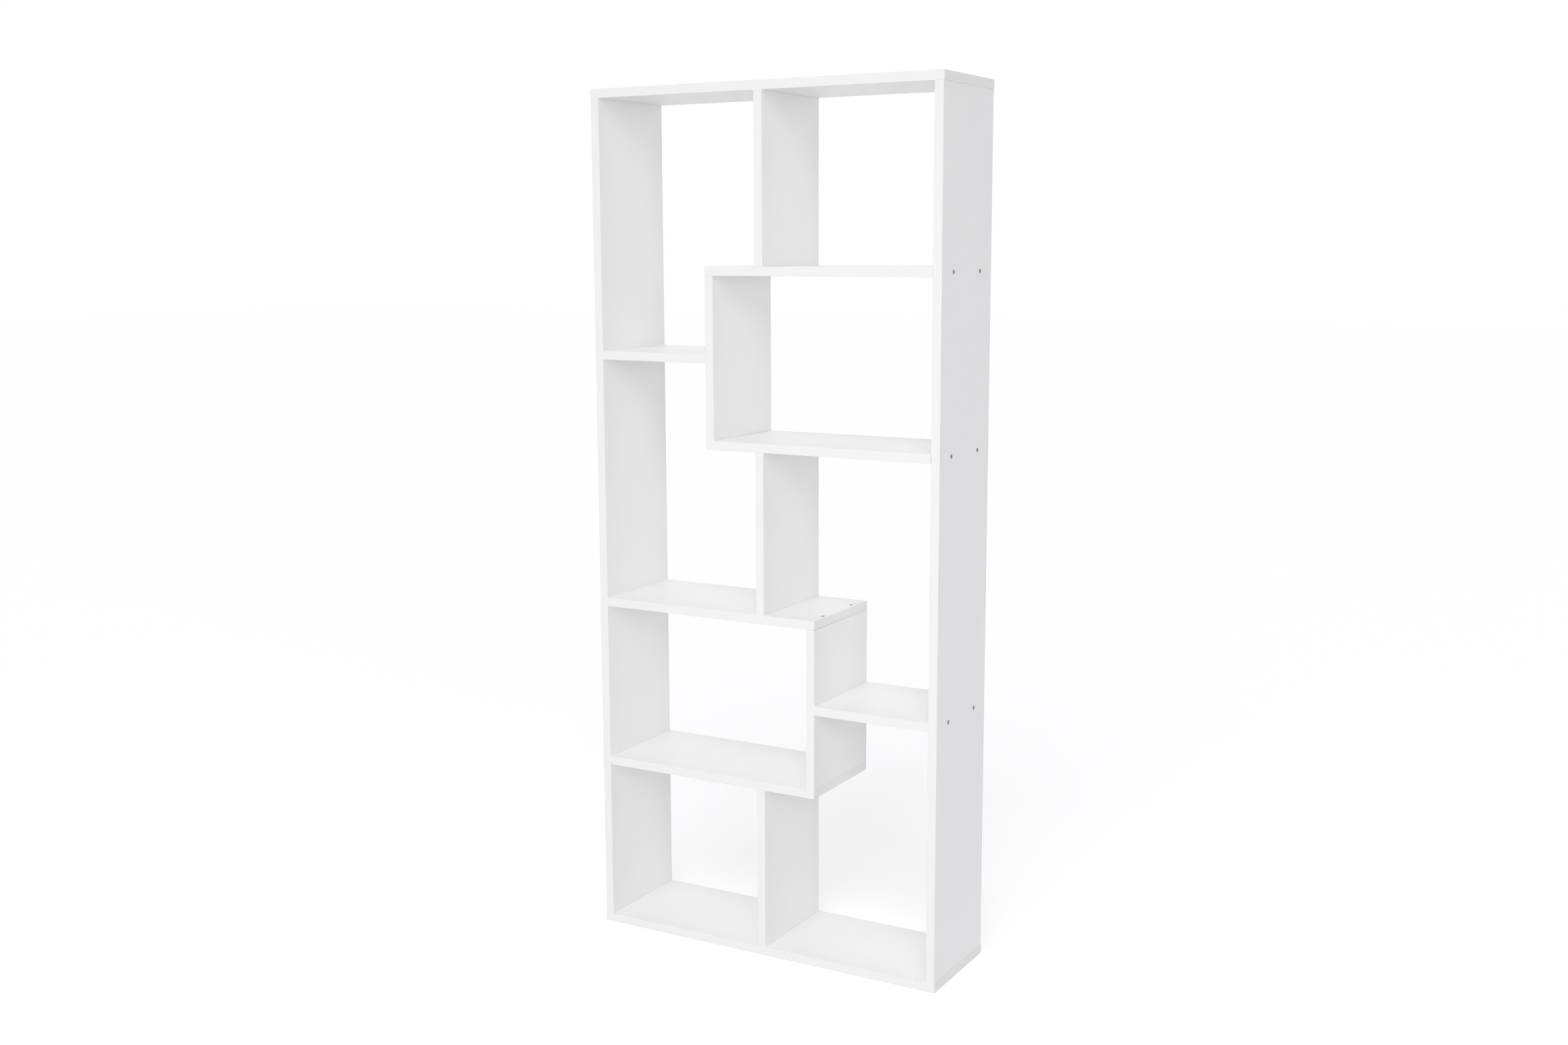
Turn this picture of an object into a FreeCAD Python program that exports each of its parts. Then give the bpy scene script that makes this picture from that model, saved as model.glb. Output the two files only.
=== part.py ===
import FreeCAD, Part
import math
import os
from collections import namedtuple

# Staircase bookshelf: an open case of edge-banded boards whose inner shelves and uprights step to and fro
# across the centre line. Millimetres. The origin is on the floor at the middle of the footprint, +X is to the
# right, +Y to the back and +Z up.

Vector = FreeCAD.Vector

# Case
case_width = 810.0           # over the outer faces of the two sides
overall_depth = 240.0
board_thickness = 19.0
end_ease = 0.15              # taken off the arrises of the sawn ends, which shows as a fine line at each joint

# Inside of the case
outer_tier_opening = 348.0   # clear height of the bottom and top tiers
inner_tier_opening = 340.0   # clear height of each of the three tiers between them
short_shelf_length = 258.0   # from a side to the upright that carries the short shelf

# Edge banding, glued to the boards' edges
band_thickness = 1.0
band_arris_share = 0.6       # share of the band's thickness that rounds its outer edges

# Fixings: a front and a back one in each joint
fixing_spacing = 128.0

# Connecting screws, driven through the face of one board into the end of the next
screw_length = 50.0
screw_recess = 3.0           # from the board's face down to the head
head_diameter = 8.8
head_height = 1.6
socket_across_flats = 4.0
socket_depth = 2.4
shank_diameter = 6.4
shank_setback = 2.0          # the shank ends this far short of the joint
core_diameter = 4.8
point_diameter = 2.4
point_length = 4.0
screw_clearance = 0.1        # all round the screw
pilot_room = 3.0             # left empty past the point

# Dowels, in the joints that have no screws
dowel_diameter = 8.0
dowel_length = 30.0
dowel_cover = 7.0            # board left whole beyond a dowel in its face
dowel_chamfer = 0.8
dowel_clearance = 0.1        # all round the dowel
glue_room = 0.5              # left empty past each end of a dowel

cut_overrun = 1.0

# Values that follow from the sizes above
half_width = case_width / 2
half_depth = overall_depth / 2
half_board = board_thickness / 2
inner_half_width = half_width - board_thickness
panel_half_width = half_width + band_thickness
core_depth = overall_depth - 2 * band_thickness
band_arris = band_thickness * band_arris_share
dowel_end_depth = dowel_length + dowel_cover - board_thickness

# Undersides of the six levels of lying boards, from the bottom panel to the top panel
tier_openings = [outer_tier_opening] + 3 * [inner_tier_opening] + [outer_tier_opening]
levels = [0.0]
for opening in tier_openings:
    levels.append(levels[-1] + board_thickness + opening)

# Axes
right = Vector(1, 0, 0)
back = Vector(0, 1, 0)
up = Vector(0, 0, 1)

# A board's outline seen from the front. banded_ends are the directions of its ends that show.
Board = namedtuple("Board", "left right low high lies banded_ends")


def lying(left_end, right_end, underside, banded_ends=()):
    return Board(left_end, right_end, underside, underside + board_thickness, True, banded_ends)


def standing(middle, first_tier, last_tier):
    low = levels[first_tier] + board_thickness
    high = levels[last_tier + 1]
    return Board(middle - half_board, middle + half_board, low, high, False, ())


def middle_of(board):
    return Vector((board.left + board.right) / 2, 0, (board.low + board.high) / 2)


def half_way_up(tier):
    return (levels[tier] + levels[tier + 1]) / 2


# The boards, tier 0 being the lowest. The bands on the ends of the bottom and top panels stand proud of the
# sides. The free end of each long shelf is flush with the outer face of its upright.
top_tier = len(tier_openings) - 1
left_free_end = short_shelf_length - inner_half_width
right_free_end = -left_free_end
boards = {
    "bottom_panel": lying(-panel_half_width, panel_half_width, levels[0], (-right, right)),
    "top_panel": lying(-panel_half_width, panel_half_width, levels[top_tier + 1], (-right, right)),
    "left_side": standing(half_board - half_width, 0, top_tier),
    "right_side": standing(half_width - half_board, 0, top_tier),
    "left_shelf_lower": lying(-inner_half_width, right_free_end, levels[1], (right,)),
    "left_shelf_upper": lying(-inner_half_width, right_free_end, levels[2], (right,)),
    "right_shelf_lower": lying(left_free_end, inner_half_width, levels[3], (-right,)),
    "right_shelf_upper": lying(left_free_end, inner_half_width, levels[4], (-right,)),
    "short_right_shelf": lying(right_free_end, inner_half_width, half_way_up(1)),
    "short_left_shelf": lying(-inner_half_width, left_free_end, half_way_up(3)),
    "right_upright": standing(right_free_end - half_board, 1, 1),
    "left_upright": standing(left_free_end + half_board, 3, 3),
    "lower_divider": standing(0, 0, 0),
    "middle_divider": standing(0, 2, 2),
    "upper_divider": standing(0, top_tier, top_tier),
}

# Boards that screws are driven through, and the boards whose ends they hold
screwed = {
    "bottom_panel": ["left_side", "right_side", "lower_divider"],
    "top_panel": ["left_side", "right_side", "upper_divider"],
    "left_side": ["left_shelf_lower", "left_shelf_upper", "short_left_shelf"],
    "right_side": ["right_shelf_lower", "right_shelf_upper", "short_right_shelf"],
    "left_shelf_lower": ["right_upright"],
    "left_shelf_upper": ["right_upright"],
    "right_shelf_lower": ["left_upright"],
    "right_shelf_upper": ["left_upright"],
}

# Boards whose ends hold dowels, and the boards whose faces they stand against
dowelled = {
    "lower_divider": ["left_shelf_lower"],
    "middle_divider": ["left_shelf_upper", "right_shelf_lower"],
    "upper_divider": ["right_shelf_upper"],
    "short_left_shelf": ["left_upright"],
    "short_right_shelf": ["right_upright"],
}


# Shapes of the fixings. Each one points along +Z from z = 0.
def revolved(profile):
    points = [Vector(radius, 0, height) for radius, height in profile]
    outline = Part.makePolygon(points + points[:1])
    return Part.Face(outline).revolve(Vector(), up, 360)


def stepped(head_radius, shank_radius, top, shank_end):
    """Head, its cone and the shank, from the axis at the top to the shank's end."""
    head_end = screw_recess + head_height
    return [(0, top), (head_radius, top), (head_radius, head_end),
            (shank_radius, head_end + head_radius - shank_radius), (shank_radius, shank_end)]


def make_screw():
    """Countersunk connecting screw with a hexagon socket, z = 0 being the face of the board above its head."""
    shank_radius = shank_diameter / 2
    core_radius = core_diameter / 2
    shank_end = board_thickness - shank_setback
    screw_end = screw_recess + screw_length
    profile = stepped(head_diameter / 2, shank_radius, screw_recess, shank_end)
    profile += [(core_radius, shank_end + shank_radius - core_radius), (core_radius, screw_end - point_length),
                (point_diameter / 2, screw_end), (0, screw_end)]
    socket_radius = socket_across_flats / math.sqrt(3)
    corners = [Vector(socket_radius, 0, screw_recess)]
    corners += [FreeCAD.Rotation(up, turn).multVec(corners[0]) for turn in range(60, 360, 60)]
    socket = Part.Face(Part.makePolygon(corners + corners[:1])).extrude(up * socket_depth)
    return revolved(profile).cut(socket)


def make_screw_hole():
    """Countersunk hole through the outer board, and the pilot hole in the end behind it."""
    profile = stepped(head_diameter / 2 + screw_clearance, shank_diameter / 2 + screw_clearance,
                      -cut_overrun, board_thickness)
    pilot_radius = core_diameter / 2 + screw_clearance
    pilot_end = screw_recess + screw_length + pilot_room
    profile += [(pilot_radius, board_thickness), (pilot_radius, pilot_end), (0, pilot_end)]
    return revolved(profile)


def make_dowel():
    """Dowel with chamfered ends, z = 0 being the joint."""
    radius = dowel_diameter / 2
    low = dowel_cover - board_thickness
    high = dowel_end_depth
    return revolved([(0, low), (radius - dowel_chamfer, low), (radius, low + dowel_chamfer),
                     (radius, high - dowel_chamfer), (radius - dowel_chamfer, high), (0, high)])


def make_dowel_hole():
    radius = dowel_diameter / 2 + dowel_clearance
    low = dowel_cover - board_thickness - glue_room
    high = dowel_end_depth + glue_room
    return Part.makeCylinder(radius, high - low, up * low)


def joint_places(through, ends_here, from_outside):
    """Places of a joint's two fixings: on the far face of the board that they go through, or on the joint."""
    across = up if through.lies else right
    offset = middle_of(ends_here) - middle_of(through)
    direction = across if offset.dot(across) > 0 else -across
    start = middle_of(through) + (offset - across * offset.dot(across))
    start += direction * (-half_board if from_outside else half_board)
    turn = FreeCAD.Rotation(up, direction)
    return [FreeCAD.Placement(start + back * side * fixing_spacing / 2, turn) for side in (-1, 1)]


def placed(shape, places):
    return [shape.transformed(place.toMatrix()) for place in places]


# Boards and their banding
def sawn_ends(board):
    """Directions of the ends that butt against another board."""
    along = right if board.lies else up
    return [way for way in (-along, along) if way not in board.banded_ends]


def farthest_face(solid, way):
    return max(solid.Faces, key=lambda face: face.CenterOfMass.dot(way))


def make_core(board):
    """The board without the room that its banding takes, its sawn ends eased from front to back."""
    left_end = board.left + (band_thickness if -right in board.banded_ends else 0)
    right_end = board.right - (band_thickness if right in board.banded_ends else 0)
    corner = Vector(left_end, -core_depth / 2, board.low)
    core = Part.makeBox(right_end - left_end, core_depth, board.high - board.low, corner)
    arrises = [edge for way in sawn_ends(board) for edge in farthest_face(core, way).Edges
               if edge.Length > board_thickness]
    return core.makeChamfer(end_ease, arrises) if arrises else core


def make_band(corner, far_corner, outward, butted):
    """One strip of banding, its outer edges rounded except at the ends that butt against another board."""
    size = far_corner - corner
    strip = Part.makeBox(size.x, size.y, size.z, corner)
    outer_face = farthest_face(strip, outward)
    middle = outer_face.CenterOfMass
    free_edges = [edge for edge in outer_face.Edges
                  if all((edge.CenterOfMass - middle).dot(way) < band_arris for way in butted)]
    return strip.makeFillet(band_arris, free_edges)


def make_edging(board):
    """Front and back strips over the board's whole length, and a strip between them on each end that shows."""
    butted = sawn_ends(board)
    low_corner = Vector(board.left, 0, board.low)
    high_corner = Vector(board.right, 0, board.high)
    strips = [
        make_band(low_corner - back * half_depth, high_corner - back * core_depth / 2, -back, butted),
        make_band(low_corner + back * core_depth / 2, high_corner + back * half_depth, back, butted),
    ]
    for way in board.banded_ends:
        outer = board.right if way == right else board.left
        inner = outer - way.x * band_thickness
        corner = Vector(min(outer, inner), -core_depth / 2, board.low)
        far_corner = Vector(max(outer, inner), core_depth / 2, board.high)
        strips.append(make_band(corner, far_corner, way, (-back, back)))
    return strips


# Assembly: the fixings in their places, and the holes that each board gets for them
nodes = {}
holes = {name: [] for name in boards}

screw = make_screw()
screw_hole = make_screw_hole()
for through, held in screwed.items():
    screws = []
    for ends_here in held:
        places = joint_places(boards[through], boards[ends_here], from_outside=True)
        screws += placed(screw, places)
        for name in (through, ends_here):
            holes[name] += placed(screw_hole, places)
    nodes[through + "_screws"] = screws

dowel = make_dowel()
dowel_hole = make_dowel_hole()
for ends_here, faces in dowelled.items():
    dowels = []
    for face in faces:
        places = joint_places(boards[face], boards[ends_here], from_outside=False)
        dowels += placed(dowel, places)
        for name in (face, ends_here):
            holes[name] += placed(dowel_hole, places)
    nodes[ends_here + "_dowels"] = dowels

for name, board in boards.items():
    nodes[name] = [make_core(board).cut(holes[name]).removeSplitter()]
    nodes[name + "_edging"] = make_edging(board)

os.makedirs("parts", exist_ok=True)
for name, solids in nodes.items():
    Part.makeCompound(solids).exportStep("parts/" + name + ".step")
print(len(nodes), "nodes,", sum(len(solids) for solids in nodes.values()), "solids")
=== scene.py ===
import math

import bpy
from mathutils import Matrix, Vector


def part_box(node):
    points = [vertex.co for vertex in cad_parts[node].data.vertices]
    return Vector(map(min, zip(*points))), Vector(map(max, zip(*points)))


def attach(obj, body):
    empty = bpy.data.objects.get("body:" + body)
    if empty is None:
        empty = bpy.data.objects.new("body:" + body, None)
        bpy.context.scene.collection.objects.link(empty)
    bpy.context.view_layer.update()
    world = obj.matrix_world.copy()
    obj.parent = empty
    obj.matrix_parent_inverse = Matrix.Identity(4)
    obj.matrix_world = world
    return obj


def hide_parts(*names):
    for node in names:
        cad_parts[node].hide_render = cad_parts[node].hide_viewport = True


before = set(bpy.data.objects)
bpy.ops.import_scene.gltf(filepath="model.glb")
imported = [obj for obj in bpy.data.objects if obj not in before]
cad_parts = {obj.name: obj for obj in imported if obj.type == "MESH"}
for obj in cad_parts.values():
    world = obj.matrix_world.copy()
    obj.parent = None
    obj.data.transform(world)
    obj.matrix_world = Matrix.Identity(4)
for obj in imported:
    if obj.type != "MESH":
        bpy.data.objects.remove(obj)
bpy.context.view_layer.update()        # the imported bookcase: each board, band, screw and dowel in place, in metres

mm = 0.001
print("frame loaded:", len(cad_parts), "nodes")


# From an sRGB hex value to the linear colour that a node or a lamp takes
def linear(hexColour):
    channels = [int(hexColour[i:i + 2], 16) / 255 for i in (1, 3, 5)]
    return [c / 12.92 if c <= 0.04045 else ((c + 0.055) / 1.055) ** 2.4 for c in channels] + [1.0]


def addNode(tree, kind, inputs=None, **settings):
    node = tree.nodes.new(kind)
    for name, value in settings.items():
        setattr(node, name, value)
    for socket, value in (inputs or {}).items():
        if isinstance(value, bpy.types.NodeSocket):
            tree.links.new(value, node.inputs[socket])
        else:
            node.inputs[socket].default_value = value
    return node


def newMaterial(name):
    material = bpy.data.materials.new(name)
    material.use_nodes = True
    material.node_tree.nodes.clear()
    return material, material.node_tree


# Bump from a height in metres, and the shader that the other inputs go to
def finishMaterial(tree, height, inputs):
    bump = addNode(tree, "ShaderNodeBump", {"Strength": 1.0, "Distance": 1.0, "Height": height})
    shader = addNode(tree, "ShaderNodeBsdfPrincipled", {**inputs, "Normal": bump.outputs["Normal"]})
    addNode(tree, "ShaderNodeOutputMaterial", {"Surface": shader.outputs[0]})


# Scale of a pattern that is drawn out along one axis
def drawnOut(alongAxis, length, width):
    return [1 / (length if axis == alongAxis else width) for axis in "XYZ"]


factorIn, colourA, colourB, colourOut = 0, 6, 7, 2      # sockets of a Mix node that blends colours
numberA, numberB, numberOut = 2, 3, 0                   # and of one that blends numbers
leastIn, mostIn, drawnNumber = 2, 3, 1                  # sockets of a Random Value node that draws numbers

# The boards are the nodes that have banding
boardNames = [name.removesuffix("_edging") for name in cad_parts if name.endswith("_edging")]


def liesFlat(board):
    low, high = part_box(board)
    return high.x - low.x > high.z - low.z


# Marks of assembly and use: painted shade in three joints that stand open by a hair, a chip and a scuff.
# Each darkens what lies within an ellipsoid about a place on a board. The place is in shares of the board's
# box, and the reach is in millimetres.
marks = {
    # Painted shade: these three joints are not cut as gaps, so the shade inside each is painted dark into the boards
    "shelfEndPaintedGapShade": {
        "board": "right_shelf_lower", "at": (1.0, 0.0, 0.5), "reach": (0.4, 2.0, 12.0), "dark": 1.0},
    "uprightHeadPaintedGapShade": {
        "board": "right_upright", "at": (1.0, 0.0, 1.0), "reach": (1.5, 190.0, 0.3), "dark": 1.0},
    "uprightFootPaintedGapShade": {
        "board": "left_upright", "at": (1.0, 1.0, 0.0), "reach": (0.25, 170.0, 0.25), "dark": 1.0},
    "chip": {
        "board": "right_side", "at": (1.0, 0.955, 1.0), "reach": (1.0, 1.6, 0.7), "dark": 0.8},
    "scuff": {
        "board": "left_side", "at": (1.0, 0.013, 0.027), "reach": (1.0, 4.5, 1.2), "dark": 0.12},
}
# The one dark colour of the chip, the scuff and the painted shade of the open joints
markAndPaintedShade = {"shade": "#6F6A66", "softShare": 0.3}


# Darkens the colour within each mark: real wear, and painted shade in the open joints
def addMarks(tree, position, colour):
    for mark in marks.values():
        low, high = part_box(mark["board"])
        middle = [a + (b - a) * share for a, b, share in zip(low, high, mark["at"])]
        reach = [size * mm for size in mark["reach"]]
        away = addNode(tree, "ShaderNodeVectorMath", {0: position, 1: middle}, operation="SUBTRACT")
        shares = addNode(tree, "ShaderNodeVectorMath", {0: away.outputs[0], 1: reach}, operation="DIVIDE")
        distance = addNode(tree, "ShaderNodeVectorMath", {0: shares.outputs[0]}, operation="LENGTH")
        within = addNode(tree, "ShaderNodeMapRange",
                         {"Value": distance.outputs["Value"], "From Min": 1.0,
                          "From Max": 1.0 - markAndPaintedShade["softShare"], "To Min": 0.0, "To Max": mark["dark"]})
        colour = addNode(tree, "ShaderNodeMix",
                         {factorIn: within.outputs["Result"], colourA: colour,
                          colourB: linear(markAndPaintedShade["shade"])}, data_type="RGBA").outputs[colourOut]
    return colour


# Melamine-faced chipboard: white resin-soaked paper pressed on both faces of a sheet of glued wood flakes.
# The faces are an even satin white with a fine pearl texture. Bored holes and sawn ends show brown flakes.
melamine = {
    "white": "#F3F3F2", "whiteDim": "#EFEFEE", "cloudSize": 260 * mm, "cloudDetail": 2.0,
    "satin": 0.40, "satinSpread": 0.08, "ior": 1.5,
    "pearlSize": 3 * mm,                         # really under 1 mm wide; coarser here so that it shows
    "pearlDetail": 3.0, "pearlDepth": 0.012 * mm,
    "flakeSize": 1.2 * mm, "flakeLight": "#C9BAAB", "flakeDark": "#8C8178", "flakeDepth": 0.2 * mm,
    "rawRoughness": 0.9, "pressedLimit": 0.9,    # a face is a pressed one when its normal is this square
}


def makeMelamine(name, acrossAxis):
    material, tree = newMaterial(name)
    place = addNode(tree, "ShaderNodeTexCoord")
    position = place.outputs["Object"]
    normal = addNode(tree, "ShaderNodeSeparateXYZ", {0: place.outputs["Normal"]})
    square = addNode(tree, "ShaderNodeMath", {0: normal.outputs[acrossAxis]}, operation="ABSOLUTE")
    pressed = addNode(tree, "ShaderNodeMath", {0: square.outputs[0], 1: melamine["pressedLimit"]},
                      operation="GREATER_THAN").outputs[0]

    # Pressed paper: slow clouds in the white, and the pearl texture of the press plate
    clouds = addNode(tree, "ShaderNodeTexNoise",
                     {"Vector": position, "Scale": 1 / melamine["cloudSize"],
                      "Detail": melamine["cloudDetail"]})
    paper = addNode(tree, "ShaderNodeMix",
                    {factorIn: clouds.outputs["Fac"], colourA: linear(melamine["whiteDim"]),
                     colourB: linear(melamine["white"])}, data_type="RGBA")
    pearl = addNode(tree, "ShaderNodeTexNoise",
                    {"Vector": position, "Scale": 1 / melamine["pearlSize"],
                     "Detail": melamine["pearlDetail"]})
    satin = addNode(tree, "ShaderNodeMapRange",
                    {"Value": pearl.outputs["Fac"], "To Min": melamine["satin"] - melamine["satinSpread"],
                     "To Max": melamine["satin"] + melamine["satinSpread"]})

    # Raw core: flakes of many browns, each a Voronoi cell
    flakes = addNode(tree, "ShaderNodeTexVoronoi", {"Vector": position, "Scale": 1 / melamine["flakeSize"]})
    tint = addNode(tree, "ShaderNodeSeparateColor", {0: flakes.outputs["Color"]})
    raw = addNode(tree, "ShaderNodeMix",
                  {factorIn: tint.outputs[0], colourA: linear(melamine["flakeDark"]),
                   colourB: linear(melamine["flakeLight"])}, data_type="RGBA")

    # Each face is one or the other
    colour = addNode(tree, "ShaderNodeMix",
                     {factorIn: pressed, colourA: raw.outputs[colourOut],
                      colourB: paper.outputs[colourOut]}, data_type="RGBA")
    roughness = addNode(tree, "ShaderNodeMix",
                        {factorIn: pressed, numberA: melamine["rawRoughness"],
                         numberB: satin.outputs["Result"]})
    pearlHeight = addNode(tree, "ShaderNodeMath",
                          {0: pearl.outputs["Fac"], 1: melamine["pearlDepth"]}, operation="MULTIPLY")
    flakeHeight = addNode(tree, "ShaderNodeMath",
                          {0: tint.outputs[1], 1: melamine["flakeDepth"]}, operation="MULTIPLY")
    height = addNode(tree, "ShaderNodeMix",
                     {factorIn: pressed, numberA: flakeHeight.outputs[0], numberB: pearlHeight.outputs[0]})
    finishMaterial(tree, height.outputs[numberOut],
                   {"Base Color": addMarks(tree, position, colour.outputs[colourOut]),
                    "Roughness": roughness.outputs[numberOut], "IOR": melamine["ior"]})
    return material


# Edge band: thin white ABS strip, extruded and then buffed along its length after it is trimmed.
# It is a little greyer and glossier than the paper, with faint lines that run along the edge.
# The short strips on the ends of a board face sideways and are painted a shade warmer: painted light, for the warm
# light from the side.
edgeBand = {
    "white": "#EEEEED", "whiteDim": "#EAEAE9", "gloss": 0.33, "glossSpread": 0.07, "ior": 1.53,
    "lineLength": 90 * mm, "lineWidth": 1.2 * mm, "lineDetail": 3.0, "lineDepth": 0.006 * mm,
    "endPaintedLightTint": "#FFFDFC", "endLimit": 0.7,       # a strip is on an end when its normal is this square
}


def makeEdgeBand(name, alongAxis):
    material, tree = newMaterial(name)
    place = addNode(tree, "ShaderNodeTexCoord")
    position = place.outputs["Object"]
    stretch = drawnOut(alongAxis, edgeBand["lineLength"], edgeBand["lineWidth"])
    stretched = addNode(tree, "ShaderNodeMapping", {"Vector": position, "Scale": stretch})
    lines = addNode(tree, "ShaderNodeTexNoise",
                    {"Vector": stretched.outputs[0], "Scale": 1.0, "Detail": edgeBand["lineDetail"]})
    white = addNode(tree, "ShaderNodeMix",
                    {factorIn: lines.outputs["Fac"], colourA: linear(edgeBand["whiteDim"]),
                     colourB: linear(edgeBand["white"])}, data_type="RGBA")
    normal = addNode(tree, "ShaderNodeSeparateXYZ", {0: place.outputs["Normal"]})
    square = addNode(tree, "ShaderNodeMath", {0: normal.outputs[alongAxis]}, operation="ABSOLUTE")
    # Painted light: strips on a board's ends are tinted warmer, for the warm light that falls on them from the side
    sideLitEnd = addNode(tree, "ShaderNodeMath",
                    {0: square.outputs[0], 1: edgeBand["endLimit"]}, operation="GREATER_THAN")
    colour = addNode(tree, "ShaderNodeMix",
                     {factorIn: sideLitEnd.outputs[0], colourA: white.outputs[colourOut],
                      colourB: linear(edgeBand["endPaintedLightTint"])}, data_type="RGBA", blend_type="MULTIPLY")
    gloss = addNode(tree, "ShaderNodeMapRange",
                    {"Value": lines.outputs["Fac"], "To Min": edgeBand["gloss"] - edgeBand["glossSpread"],
                     "To Max": edgeBand["gloss"] + edgeBand["glossSpread"]})
    height = addNode(tree, "ShaderNodeMath",
                     {0: lines.outputs["Fac"], 1: edgeBand["lineDepth"]}, operation="MULTIPLY")
    finishMaterial(tree, height.outputs[0],
                   {"Base Color": addMarks(tree, position, colour.outputs[colourOut]),
                    "Roughness": gloss.outputs["Result"], "IOR": edgeBand["ior"]})
    return material


# Zinc-plated steel, barrel plated and blue passivated: a bright grey metal, cloudy where the screws rubbed
# together in the barrel.
zinc = {
    "bright": "#CDD1D3", "dull": "#A3A8AB", "cloudSize": 2.2 * mm, "cloudDetail": 4.0,
    "polish": 0.30, "polishSpread": 0.12, "pitDepth": 0.01 * mm,
}


def makeZinc(name):
    material, tree = newMaterial(name)
    place = addNode(tree, "ShaderNodeTexCoord")
    clouds = addNode(tree, "ShaderNodeTexNoise",
                     {"Vector": place.outputs["Object"], "Scale": 1 / zinc["cloudSize"],
                      "Detail": zinc["cloudDetail"]})
    colour = addNode(tree, "ShaderNodeMix",
                     {factorIn: clouds.outputs["Fac"], colourA: linear(zinc["dull"]),
                      colourB: linear(zinc["bright"])}, data_type="RGBA")
    polish = addNode(tree, "ShaderNodeMapRange",
                     {"Value": clouds.outputs["Fac"], "To Min": zinc["polish"] + zinc["polishSpread"],
                      "To Max": zinc["polish"] - zinc["polishSpread"]})
    height = addNode(tree, "ShaderNodeMath",
                     {0: clouds.outputs["Fac"], 1: zinc["pitDepth"]}, operation="MULTIPLY")
    finishMaterial(tree, height.outputs[0],
                   {"Base Color": colour.outputs[colourOut], "Metallic": 1.0,
                    "Roughness": polish.outputs["Result"]})
    return material


# Beech, turned and pressed into fluted dowel: pale pinkish brown, with short dark flecks along the grain
beech = {
    "pale": "#DDBB92", "dark": "#B98A5C", "fleck": "#8E623D", "roughness": 0.62,
    "grainLength": 40 * mm, "grainWidth": 1.1 * mm, "grainDepth": 0.03 * mm,
    "fleckLength": 3 * mm, "fleckWidth": 0.35 * mm, "fleckShare": 0.30, "detail": 2.0,
}


def makeBeech(name, alongAxis):
    material, tree = newMaterial(name)
    place = addNode(tree, "ShaderNodeTexCoord")
    patterns = []
    for length, width in (("grainLength", "grainWidth"), ("fleckLength", "fleckWidth")):
        stretch = drawnOut(alongAxis, beech[length], beech[width])
        stretched = addNode(tree, "ShaderNodeMapping", {"Vector": place.outputs["Object"], "Scale": stretch})
        noise = addNode(tree, "ShaderNodeTexNoise",
                        {"Vector": stretched.outputs[0], "Scale": 1.0, "Detail": beech["detail"]})
        patterns.append(noise.outputs["Fac"])
    grain, flecks = patterns
    wood = addNode(tree, "ShaderNodeMix",
                   {factorIn: grain, colourA: linear(beech["dark"]),
                    colourB: linear(beech["pale"])}, data_type="RGBA")
    isFleck = addNode(tree, "ShaderNodeMath", {0: flecks, 1: beech["fleckShare"]}, operation="LESS_THAN")
    colour = addNode(tree, "ShaderNodeMix",
                     {factorIn: isFleck.outputs[0], colourA: wood.outputs[colourOut],
                      colourB: linear(beech["fleck"])}, data_type="RGBA")
    height = addNode(tree, "ShaderNodeMath", {0: grain, 1: beech["grainDepth"]}, operation="MULTIPLY")
    finishMaterial(tree, height.outputs[0],
                   {"Base Color": colour.outputs[colourOut], "Roughness": beech["roughness"]})
    return material


lyingBoard = makeMelamine("melamineChipboardLying", "Z")
standingBoard = makeMelamine("melamineChipboardStanding", "X")
lyingBand = makeEdgeBand("absEdgeBandLying", "X")
standingBand = makeEdgeBand("absEdgeBandStanding", "Z")
for board in boardNames:
    lies = liesFlat(board)
    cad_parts[board].material_slots[0].material = lyingBoard if lies else standingBoard
    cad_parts[board + "_edging"].material_slots[0].material = lyingBand if lies else standingBand
print("boards finished:", len(boardNames))


# Geometry Nodes: a turned shape is a stack of cone rings between stations of (radius, height) along +Z,
# and copies of it stand on the input's points, each along the point's own direction
mergeGap = 0.01 * mm      # points nearer than this become one


def startTree(name, sizes):
    tree = bpy.data.node_groups.new(name, "GeometryNodeTree")
    tree.interface.new_socket("Geometry", in_out="INPUT", socket_type="NodeSocketGeometry")
    tree.interface.new_socket("Geometry", in_out="OUTPUT", socket_type="NodeSocketGeometry")
    for size in sizes:
        tree.interface.new_socket(size, in_out="INPUT", socket_type="NodeSocketFloat")
    tree.interface.new_socket("Seed", in_out="INPUT", socket_type="NodeSocketInt")
    tree.interface.new_socket("Material", in_out="INPUT", socket_type="NodeSocketMaterial")
    return tree, addNode(tree, "NodeGroupInput").outputs


def addTurnedShape(tree, stations, sides, rowsBetween):
    rings = addNode(tree, "GeometryNodeJoinGeometry")
    for (radius, height), (nextRadius, nextHeight), rows in zip(stations, stations[1:], rowsBetween):
        depth = addNode(tree, "ShaderNodeMath", {0: nextHeight, 1: height}, operation="SUBTRACT")
        ring = addNode(tree, "GeometryNodeMeshCone",
                       {"Vertices": sides, "Side Segments": rows, "Radius Bottom": radius,
                        "Radius Top": nextRadius, "Depth": depth.outputs[0]}, fill_type="NONE")
        lift = addNode(tree, "ShaderNodeCombineXYZ", {"Z": height})
        raised = addNode(tree, "GeometryNodeTransform",
                         {"Geometry": ring.outputs["Mesh"], "Translation": lift.outputs[0]})
        tree.links.new(raised.outputs[0], rings.inputs[0])
    return addNode(tree, "GeometryNodeMergeByDistance",
                   {"Geometry": rings.outputs[0], "Distance": mergeGap}).outputs[0]


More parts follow.
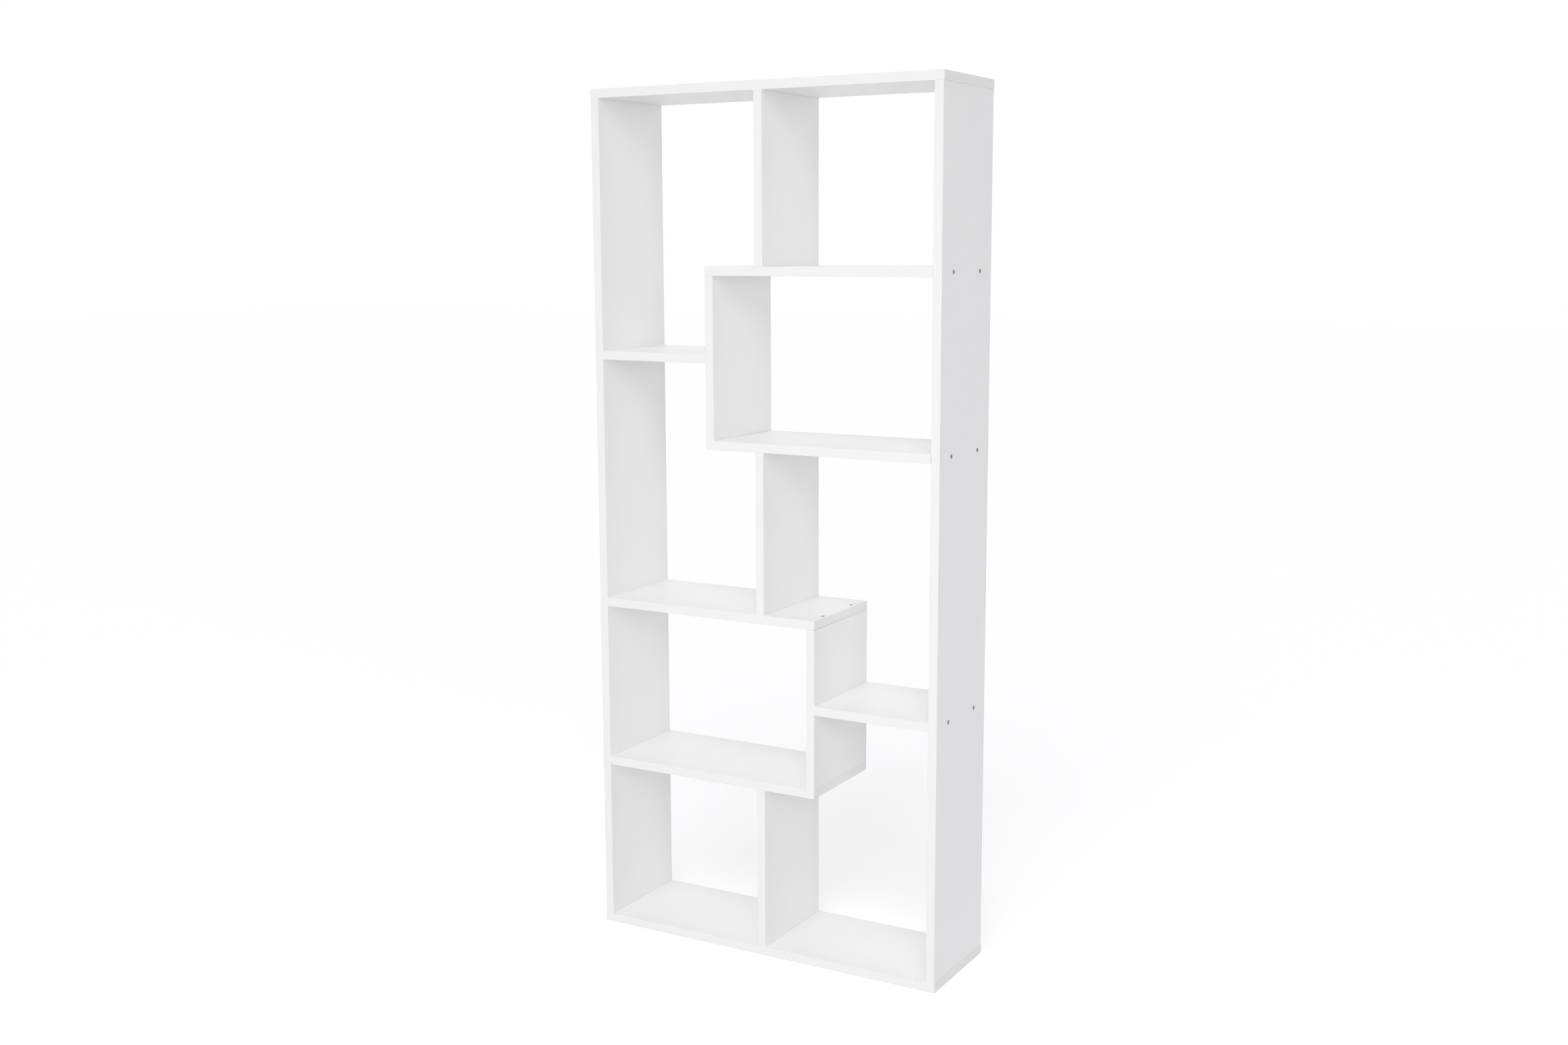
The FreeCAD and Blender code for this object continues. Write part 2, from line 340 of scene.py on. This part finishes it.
# Where each point of a turned shape lies: its angle about the axis, its height and its way out from the axis
def readPoints(tree):
    where = addNode(tree, "GeometryNodeInputPosition")
    axes = addNode(tree, "ShaderNodeSeparateXYZ", {0: where.outputs[0]})
    angle = addNode(tree, "ShaderNodeMath", {0: axes.outputs["Y"], 1: axes.outputs["X"]},
                    operation="ARCTAN2")
    wayOut = addNode(tree, "ShaderNodeCombineXYZ", {"X": axes.outputs["X"], "Y": axes.outputs["Y"]})
    return {"angle": angle.outputs[0], "height": axes.outputs["Z"], "wayOut": wayOut.outputs[0]}


# Moves each point out from the axis by a share of its radius
def moveOut(tree, shape, points, share):
    offset = addNode(tree, "ShaderNodeVectorMath", {0: points["wayOut"], "Scale": share}, operation="SCALE")
    moved = addNode(tree, "GeometryNodeSetPosition", {"Geometry": shape, "Offset": offset.outputs[0]})
    return moved.outputs[0]


# Creases at the sharp edges, then a copy on each point, turned about its own axis by a random angle
def finishTree(tree, size, shape, sharpAngle):
    angle = addNode(tree, "GeometryNodeInputMeshEdgeAngle")
    sharp = addNode(tree, "FunctionNodeCompare", {0: angle.outputs[0], 1: sharpAngle},
                    data_type="FLOAT", operation="GREATER_THAN")
    smooth = addNode(tree, "GeometryNodeSetShadeSmooth", {0: shape, "Shade Smooth": True}, domain="FACE")
    creased = addNode(tree, "GeometryNodeSetShadeSmooth",
                      {0: smooth.outputs[0], "Selection": sharp.outputs[0], "Shade Smooth": False},
                      domain="EDGE")
    direction = addNode(tree, "GeometryNodeInputNamedAttribute", {"Name": "direction"},
                        data_type="FLOAT_VECTOR")
    aimed = addNode(tree, "FunctionNodeAlignRotationToVector", {"Vector": direction.outputs[0]}, axis="Z")
    turn = addNode(tree, "FunctionNodeRandomValue",
                   {leastIn: 0.0, mostIn: math.tau, "Seed": size["Seed"]}, data_type="FLOAT")
    spin = addNode(tree, "FunctionNodeAxisAngleToRotation",
                   {"Axis": (0, 0, 1), "Angle": turn.outputs[drawnNumber]})
    spun = addNode(tree, "FunctionNodeRotateRotation", {0: aimed.outputs[0], 1: spin.outputs[0]},
                   rotation_space="LOCAL")
    copies = addNode(tree, "GeometryNodeInstanceOnPoints",
                     {"Points": size["Geometry"], "Instance": creased.outputs[0],
                      "Rotation": spun.outputs[0]})
    real = addNode(tree, "GeometryNodeRealizeInstances", {0: copies.outputs[0]})
    finished = addNode(tree, "GeometryNodeSetMaterial", {0: real.outputs[0], "Material": size["Material"]})
    addNode(tree, "NodeGroupOutput", {0: finished.outputs[0]})


def growPiece(name, tree, places, sizes, seed, material):
    mesh = bpy.data.meshes.new(name + "Places")
    mesh.from_pydata([place for place, way in places], [], [])
    directions = mesh.attributes.new("direction", "FLOAT_VECTOR", "POINT")
    for entry, (place, way) in zip(directions.data, places):
        entry.vector = way
    piece = bpy.data.objects.new(name, mesh)
    bpy.context.scene.collection.objects.link(piece)
    modifier = piece.modifiers.new("grow", "NODES")
    modifier.node_group = tree
    values = {**sizes, "Seed": seed, "Material": material}
    for socket in tree.interface.items_tree:
        if socket.in_out == "INPUT" and socket.name in values:
            modifier[socket.identifier] = values[socket.name]
    grown = bpy.data.meshes.new_from_object(piece.evaluated_get(bpy.context.evaluated_depsgraph_get()))
    piece.modifiers.remove(modifier)
    piece.data = grown
    piece.data.materials.clear()
    piece.data.materials.append(material)
    return piece


# Each joint has two fixings, side by side. They start on the outer face of the board that they go through,
# or else on the joint itself, and are moved along by the depth given.
fixing = {
    "spacing": 128 * mm,
    "screwRecess": 3 * mm,       # from the outer face down to a screw's head
    "dowelInFace": 12 * mm,      # of a dowel's length, in the board that the other stands against
}


def jointPlaces(through, held, depth, fromOutside):
    low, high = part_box(through)
    heldLow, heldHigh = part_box(held)
    axis = "XYZ".index("Z" if liesFlat(through) else "X")
    middle = (low + high) / 2
    heldMiddle = (heldLow + heldHigh) / 2
    way = Vector()
    way[axis] = 1 if heldMiddle[axis] > middle[axis] else -1
    start = heldMiddle.copy()
    start[axis] = (low if (way[axis] > 0) == fromOutside else high)[axis]
    start += way * depth
    return [(start + Vector((0, side * fixing["spacing"] / 2, 0)), way) for side in (-1, 1)]


# Connecting screws: countersunk head with a hexagon socket, plain shank and a coarse thread for chipboard
screw = {
    "Head Radius": 4.4 * mm, "Head Height": 1.6 * mm, "Socket Width": 4.0 * mm, "Socket Depth": 2.4 * mm,
    "Shank Radius": 3.2 * mm, "Shank End": 14.0 * mm, "Core Radius": 2.4 * mm, "Thread Radius": 3.5 * mm,
    "Thread Pitch": 3.0 * mm, "Point Radius": 1.2 * mm, "Point Length": 4.0 * mm, "Length": 50.0 * mm,
}
screwMesh = {
    "sides": 24, "rowsPerTurn": 8, "ridgeShare": 0.45, "socketSides": 6,
    "sharpAngle": math.radians(32), "seed": 7,
}
screwJoints = {       # board that the screws go through: boards whose ends they hold
    "bottom_panel": ["left_side", "right_side", "lower_divider"],
    "top_panel": ["left_side", "right_side", "upper_divider"],
    "left_side": ["left_shelf_lower", "left_shelf_upper", "short_left_shelf"],
    "right_side": ["right_shelf_lower", "right_shelf_upper", "short_right_shelf"],
    "left_shelf_lower": ["right_upright"],
    "left_shelf_upper": ["right_upright"],
    "right_shelf_lower": ["left_upright"],
    "right_shelf_upper": ["left_upright"],
}


def buildScrewTree():
    tree, size = startTree("connectingScrews", screw)
    coneDepth = addNode(tree, "ShaderNodeMath", {0: size["Head Radius"], 1: size["Shank Radius"]},
                        operation="SUBTRACT")
    coneEnd = addNode(tree, "ShaderNodeMath", {0: size["Head Height"], 1: coneDepth.outputs[0]},
                      operation="ADD").outputs[0]
    neckDepth = addNode(tree, "ShaderNodeMath", {0: size["Shank Radius"], 1: size["Core Radius"]},
                        operation="SUBTRACT")
    neckEnd = addNode(tree, "ShaderNodeMath", {0: size["Shank End"], 1: neckDepth.outputs[0]},
                      operation="ADD").outputs[0]
    threadEnd = addNode(tree, "ShaderNodeMath", {0: size["Length"], 1: size["Point Length"]},
                        operation="SUBTRACT").outputs[0]
    threadLength = screw["Length"] - screw["Point Length"] - screw["Shank End"]
    threadRows = round(threadLength / screw["Thread Pitch"] * screwMesh["rowsPerTurn"])
    stations = [(0.0, 0.0), (size["Head Radius"], 0.0), (size["Head Radius"], size["Head Height"]),
                (size["Shank Radius"], coneEnd), (size["Shank Radius"], size["Shank End"]),
                (size["Core Radius"], neckEnd), (size["Core Radius"], threadEnd),
                (size["Point Radius"], size["Length"]), (0.0, size["Length"])]
    rows = [1, 1, 1, 1, 1, threadRows, 1, 1]      # of faces between stations: many along the thread alone
    turned = addTurnedShape(tree, stations, screwMesh["sides"], rows)

    # The thread: a ridge that climbs one pitch for each turn and fades out at both ends of the core
    halfTurn = 0.5
    points = readPoints(tree)
    turns = addNode(tree, "ShaderNodeMath", {0: points["angle"], 1: math.tau}, operation="DIVIDE")
    climbed = addNode(tree, "ShaderNodeMath", {0: points["height"], 1: size["Thread Pitch"]},
                      operation="DIVIDE")
    phase = addNode(tree, "ShaderNodeMath", {0: climbed.outputs[0], 1: turns.outputs[0]},
                    operation="SUBTRACT")
    toCrest = addNode(tree, "ShaderNodeMath", {0: phase.outputs[0], 1: halfTurn}, operation="PINGPONG")
    ridge = addNode(tree, "ShaderNodeMapRange",
                    {"Value": toCrest.outputs[0], "From Min": screwMesh["ridgeShare"] * halfTurn,
                     "From Max": 0.0, "To Min": 0.0, "To Max": 1.0})
    fullFrom = addNode(tree, "ShaderNodeMath", {0: neckEnd, 1: size["Thread Pitch"]}, operation="ADD")
    startFade = addNode(tree, "ShaderNodeMapRange",
                        {"Value": points["height"], "From Min": neckEnd, "From Max": fullFrom.outputs[0]})
    fullTo = addNode(tree, "ShaderNodeMath", {0: threadEnd, 1: size["Thread Pitch"]}, operation="SUBTRACT")
    endFade = addNode(tree, "ShaderNodeMapRange",
                      {"Value": points["height"], "From Min": threadEnd, "From Max": fullTo.outputs[0]})
    fade = addNode(tree, "ShaderNodeMath", {0: startFade.outputs[0], 1: endFade.outputs[0]},
                   operation="MULTIPLY")
    raised = addNode(tree, "ShaderNodeMath", {0: ridge.outputs[0], 1: fade.outputs[0]}, operation="MULTIPLY")
    growth = addNode(tree, "ShaderNodeMath", {0: size["Thread Radius"], 1: size["Core Radius"]},
                     operation="DIVIDE")
    gain = addNode(tree, "ShaderNodeMath", {0: growth.outputs[0], 1: 1.0}, operation="SUBTRACT")
    share = addNode(tree, "ShaderNodeMath", {0: raised.outputs[0], 1: gain.outputs[0]}, operation="MULTIPLY")
    threaded = moveOut(tree, turned, points, share.outputs[0])

    # The hexagon socket, cut by a prism that is centred on the head's face, so half of it is in the head
    cornerRadius = addNode(tree, "ShaderNodeMath", {0: size["Socket Width"], 1: math.sqrt(3)},
                           operation="DIVIDE")
    prismHeight = addNode(tree, "ShaderNodeMath", {0: size["Socket Depth"], 1: size["Socket Depth"]},
                          operation="ADD")
    prism = addNode(tree, "GeometryNodeMeshCylinder",
                    {"Vertices": screwMesh["socketSides"], "Radius": cornerRadius.outputs[0],
                     "Depth": prismHeight.outputs[0]}, fill_type="NGON")
    socketed = addNode(tree, "GeometryNodeMeshBoolean", {0: threaded, 1: prism.outputs["Mesh"]},
                       operation="DIFFERENCE", solver="EXACT")
    merged = addNode(tree, "GeometryNodeMergeByDistance",
                     {"Geometry": socketed.outputs[0], "Distance": mergeGap})
    finishTree(tree, size, merged.outputs[0], screwMesh["sharpAngle"])
    return tree


screwTree = buildScrewTree()
zincPlatedSteel = makeZinc("zincPlatedSteel")
for number, (through, heldBoards) in enumerate(screwJoints.items()):
    places = []
    for held in heldBoards:
        places += jointPlaces(through, held, fixing["screwRecess"], True)
    piece = growPiece(through + "_screws_threaded", screwTree, places, screw, screwMesh["seed"] + number,
                      zincPlatedSteel)
    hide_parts(through + "_screws")
    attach(piece, "root")
print("screws grown:", len(screwJoints), "groups")


# Fluted beech dowels, in the joints that no screw reaches
dowel = {
    "Radius": 4.0 * mm, "Length": 30.0 * mm, "Chamfer": 0.8 * mm, "Flute Depth": 0.25 * mm, "Flutes": 20.0,
}
dowelMesh = {"sidesPerFlute": 4, "sharpAngle": math.radians(30), "seed": 3}
dowelJoints = {       # board whose end holds the dowels: boards that it stands against
    "lower_divider": ["left_shelf_lower"],
    "middle_divider": ["left_shelf_upper", "right_shelf_lower"],
    "upper_divider": ["right_shelf_upper"],
    "short_left_shelf": ["left_upright"],
    "short_right_shelf": ["right_upright"],
}


def buildDowelTree():
    tree, size = startTree("flutedDowels", dowel)
    endRadius = addNode(tree, "ShaderNodeMath", {0: size["Radius"], 1: size["Chamfer"]},
                        operation="SUBTRACT").outputs[0]
    bodyEnd = addNode(tree, "ShaderNodeMath", {0: size["Length"], 1: size["Chamfer"]},
                      operation="SUBTRACT").outputs[0]
    stations = [(0.0, 0.0), (endRadius, 0.0), (size["Radius"], size["Chamfer"]),
                (size["Radius"], bodyEnd), (endRadius, size["Length"]), (0.0, size["Length"])]
    sides = round(dowel["Flutes"]) * dowelMesh["sidesPerFlute"]
    turned = addTurnedShape(tree, stations, sides, [1] * (len(stations) - 1))

    # The flutes: half waves pressed in all round
    points = readPoints(tree)
    phase = addNode(tree, "ShaderNodeMath", {0: points["angle"], 1: size["Flutes"]}, operation="MULTIPLY")
    wave = addNode(tree, "ShaderNodeMath", {0: phase.outputs[0]}, operation="COSINE")
    groove = addNode(tree, "ShaderNodeMath", {0: wave.outputs[0], 1: 0.0}, operation="MAXIMUM")
    depth = addNode(tree, "ShaderNodeMath", {0: size["Flute Depth"], 1: size["Radius"]}, operation="DIVIDE")
    inwards = addNode(tree, "ShaderNodeMath", {0: groove.outputs[0], 1: depth.outputs[0]},
                      operation="MULTIPLY")
    share = addNode(tree, "ShaderNodeMath", {0: inwards.outputs[0], 1: -1.0}, operation="MULTIPLY")
    fluted = moveOut(tree, turned, points, share.outputs[0])
    finishTree(tree, size, fluted, dowelMesh["sharpAngle"])
    return tree


dowelTree = buildDowelTree()
uprightBeech = makeBeech("beechUpright", "Z")
levelBeech = makeBeech("beechLevel", "X")
for number, (held, faces) in enumerate(dowelJoints.items()):
    places = []
    for face in faces:
        places += jointPlaces(face, held, -fixing["dowelInFace"], False)
    piece = growPiece(held + "_dowels_fluted", dowelTree, places, dowel, dowelMesh["seed"] + number,
                      levelBeech if liesFlat(held) else uprightBeech)
    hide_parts(held + "_dowels")
    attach(piece, "root")
print("dowels grown:", len(dowelJoints), "groups")


# Floor: matt white studio sweep. Seen by the camera it is lifted to plain white and keeps a pale shadow.
studio = {"floorSize": 60.0, "floorWhite": "#E6E6E6", "shadowWhite": "#C3C3C3", "lift": 0.537}


def seenDirectly(tree):
    path = addNode(tree, "ShaderNodeLightPath")
    either = addNode(tree, "ShaderNodeMath",
                     {0: path.outputs["Is Camera Ray"], 1: path.outputs["Is Glossy Ray"]},
                     operation="MAXIMUM")
    return addNode(tree, "ShaderNodeMath", {0: either.outputs[0], 1: path.outputs["Is Transmission Ray"]},
                   operation="MAXIMUM").outputs[0]


def makeFloor():
    half = studio["floorSize"] / 2
    corners = [(-half, -half, 0), (half, -half, 0), (half, half, 0), (-half, half, 0)]
    mesh = bpy.data.meshes.new("studioFloor")
    mesh.from_pydata(corners, [], [(0, 1, 2, 3)])
    floor = bpy.data.objects.new("studioFloor", mesh)
    bpy.context.scene.collection.objects.link(floor)
    material, tree = newMaterial("mattStudioFloor")
    bounce = addNode(tree, "ShaderNodeBsdfDiffuse", {"Color": linear(studio["floorWhite"])})
    shaded = addNode(tree, "ShaderNodeBsdfDiffuse", {"Color": linear(studio["shadowWhite"])})
    lift = addNode(tree, "ShaderNodeEmission", {"Strength": studio["lift"]})
    seen = addNode(tree, "ShaderNodeAddShader", {0: shaded.outputs[0], 1: lift.outputs[0]})
    surface = addNode(tree, "ShaderNodeMixShader",
                      {0: seenDirectly(tree), 1: bounce.outputs[0], 2: seen.outputs[0]})
    addNode(tree, "ShaderNodeOutputMaterial", {"Surface": surface.outputs[0]})
    mesh.materials.append(material)


# The glow of a pale room, which comes from each side by itself. Seen directly, the room is plain white.
roomGlow = {
    "left": {"from": (-1, 0, 0), "strength": 0.55, "tint": "#FBFAFF"},
    "behind": {"from": (0, 1, 0), "strength": 1.34, "tint": "#FBF9FF"},
}


def makeWorld():
    world = bpy.data.worlds.new("studioWorld")
    world.use_nodes = True
    tree = world.node_tree
    tree.nodes.clear()
    direction = addNode(tree, "ShaderNodeTexCoord").outputs["Generated"]
    room = addNode(tree, "ShaderNodeBackground", {"Strength": 0.0})
    for glow in roomGlow.values():
        facing = addNode(tree, "ShaderNodeVectorMath", {0: direction, 1: glow["from"]},
                         operation="DOT_PRODUCT")
        lit = addNode(tree, "ShaderNodeMath", {0: facing.outputs["Value"], 1: 0.0}, operation="MAXIMUM")
        strength = addNode(tree, "ShaderNodeMath", {0: lit.outputs[0], 1: glow["strength"]},
                           operation="MULTIPLY")
        side = addNode(tree, "ShaderNodeBackground",
                       {"Color": linear(glow["tint"]), "Strength": strength.outputs[0]})
        room = addNode(tree, "ShaderNodeAddShader", {0: room.outputs[0], 1: side.outputs[0]})
    white = addNode(tree, "ShaderNodeBackground", {"Color": linear("#FFFFFF"), "Strength": 1.0})
    surface = addNode(tree, "ShaderNodeMixShader",
                      {0: seenDirectly(tree), 1: room.outputs[0], 2: white.outputs[0]})
    addNode(tree, "ShaderNodeOutputWorld", {"Surface": surface.outputs[0]})
    bpy.context.scene.world = world


level = 90      # degrees that raise a lamp or a camera from straight down to level

# Soft lights, each a wide glow far off: turned to the right of straight ahead and raised, in degrees
softLights = {
    "key": {"turn": 15, "rise": 40, "spread": 40, "strength": 1.33, "tint": "#FDFDFF"},
    "fill": {"turn": 45, "rise": 10, "spread": 40, "strength": 0.77, "tint": "#FFFDFC"},
    "overhead": {"turn": 0, "rise": 70, "spread": 40, "strength": 0.50, "tint": "#FAFAFF"},
}


def addSoftLights():
    for name, glow in softLights.items():
        light = bpy.data.lights.new(name, "SUN")
        light.angle = math.radians(glow["spread"])
        light.energy = glow["strength"]
        light.color = linear(glow["tint"])[:3]
        lamp = bpy.data.objects.new(name, light)
        lamp.rotation_euler = (math.radians(level - glow["rise"]), 0, math.radians(glow["turn"]))
        lamp.visible_glossy = False     # gloss mirrors the white room alone, so pale boards don't glare
        bpy.context.scene.collection.objects.link(lamp)


# Light boxes close to the bookcase, which make its tones change a little up its height
lightBoxes = {
    "frontBox": {
        "place": (0.9, -2.9, 1.3), "aim": (0.0, 0.0, 1.2), "size": 1.2, "power": 16.3, "tint": "#FFFFF8"},
    "sideBox": {
        "place": (2.2, 0.3, 0.4), "aim": (0.4, 0.0, 0.45), "size": 1.0, "power": 1.3, "tint": "#E4DEFF"},
}


def addLightBoxes():
    for name, box in lightBoxes.items():
        light = bpy.data.lights.new(name, "AREA")
        light.size = box["size"]
        light.energy = box["power"]
        light.color = linear(box["tint"])[:3]
        lamp = bpy.data.objects.new(name, light)
        aimed = (Vector(box["aim"]) - Vector(box["place"])).to_track_quat("-Z", "Y").to_matrix().to_4x4()
        lamp.matrix_world = Matrix.Translation(box["place"]) @ aimed
        lamp.visible_glossy = False
        bpy.context.scene.collection.objects.link(lamp)


# Camera at the photograph's own place and angle: metres, degrees, and millimetres for the lens and sensor
view = {
    "place": (1.78989, -3.18005, 1.50573), "turn": 29.507, "tilt": -9.061, "roll": -0.171,
    "lens": 39.944, "sensor": 36.0,
}


def addCamera():
    lens = bpy.data.cameras.new("photoCamera")
    lens.sensor_width = view["sensor"]
    lens.lens = view["lens"]
    camera = bpy.data.objects.new("photoCamera", lens)
    camera.matrix_world = (Matrix.Translation(view["place"])
                           @ Matrix.Rotation(math.radians(view["turn"]), 4, "Z")
                           @ Matrix.Rotation(math.radians(level + view["tilt"]), 4, "X")
                           @ Matrix.Rotation(math.radians(view["roll"]), 4, "Z"))
    bpy.context.scene.collection.objects.link(camera)
    bpy.context.scene.camera = camera


makeFloor()
makeWorld()
addSoftLights()
addLightBoxes()
addCamera()
bpy.context.scene.view_settings.view_transform = "Standard"
print("studio ready:", len(softLights), "soft lights and", len(lightBoxes), "light boxes")
